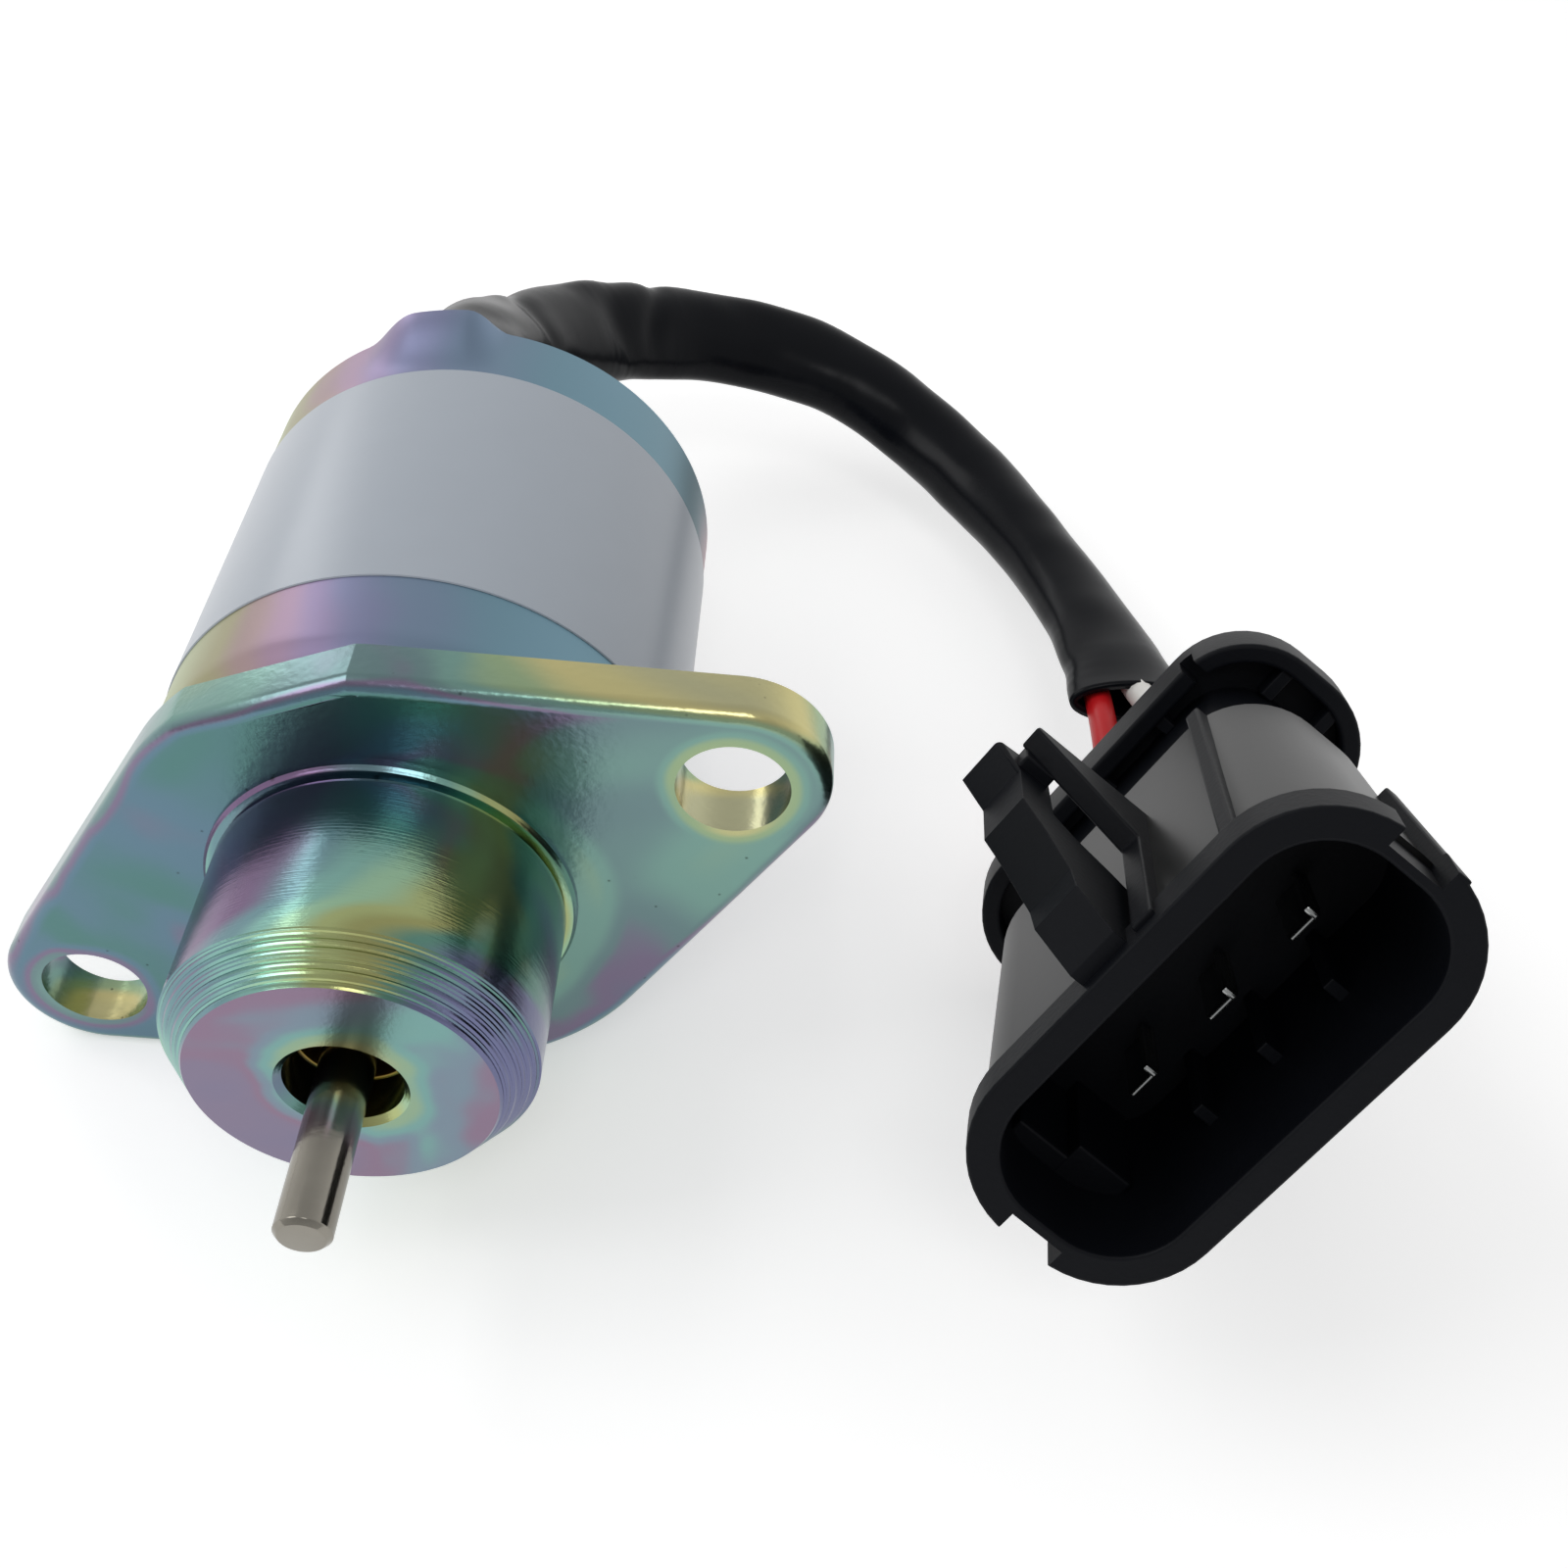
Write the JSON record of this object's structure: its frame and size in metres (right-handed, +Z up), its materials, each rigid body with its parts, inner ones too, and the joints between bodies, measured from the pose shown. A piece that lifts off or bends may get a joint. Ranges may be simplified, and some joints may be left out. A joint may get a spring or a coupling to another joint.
{
  "type": "fuel shutoff solenoid",
  "caption": "Cylindrical solenoid with a two-bolt oval flange, a turned nose with a sprung push rod, and a short sleeved lead to a keyed plug.",
  "frame": {"origin": "on the floor under the middle of the solenoid, which lies on one long side of its flange", "axes": "+Y along the solenoid's axis from the nose to the rear, +Z up, X across the flange"},
  "size_m": [0.1023, 0.1163, 0.0494],
  "materials": {
    "zinc_plate": "iridescent yellow zinc passivation on steel",
    "core_steel": "plain machined steel",
    "nickel_pin": "bright ground steel",
    "spring_steel": "drawn wire",
    "brass": "plain brass",
    "copper": "enamelled copper winding",
    "black_moulding": "black glass-filled nylon",
    "bobbin_moulding": "dark nylon",
    "coil_tape": "polyester tape",
    "potting": "black casting resin",
    "label_film": "pale satin film",
    "black_rubber": "soft rubber",
    "sleeve_pvc": "semi-gloss soft PVC",
    "red_insulation": "red PVC",
    "black_insulation": "black PVC",
    "white_insulation": "white PVC",
    "tinned_blade": "tinned sheet terminal"
  },
  "bodies": {
    "solenoid": {"mounting_flange": "zinc_plate", "nose_hub": "zinc_plate", "can_housing": "zinc_plate", "bore_ring": "brass", "bore_liner": "brass", "guide_tube": "brass", "stop_washer": "black_rubber", "fixed_core": "core_steel", "back_plate": "core_steel", "rear_potting": "potting", "bobbin": "bobbin_moulding", "pull_coil": "copper", "hold_coil": "copper", "coil_tape": "coil_tape", "wrap_label": "label_film", "lead_grommet": "black_rubber", "red_wire": "red_insulation", "black_wire": "black_insulation", "white_wire": "white_insulation", "cable_sleeve": "sleeve_pvc", "plug_housing": "black_moulding", "rear_retainer": "black_moulding", "terminal_1": "tinned_blade", "wire_seal_1": "black_rubber", "terminal_2": "tinned_blade", "wire_seal_2": "black_rubber", "terminal_3": "tinned_blade", "wire_seal_3": "black_rubber"},
    "plunger": {"plunger": "core_steel", "plunger_rod": "nickel_pin", "return_spring": "spring_steel"}
  },
  "joints": [
    {"name": "plunger_slide", "type": "slide", "parent": "solenoid", "child": "plunger", "axis": [0, 1, 0], "range_m": [0, 0.0095], "stiffness_N_per_m": 2400, "springref_m": -0.002, "deforming": ["return_spring"]}
  ]
}
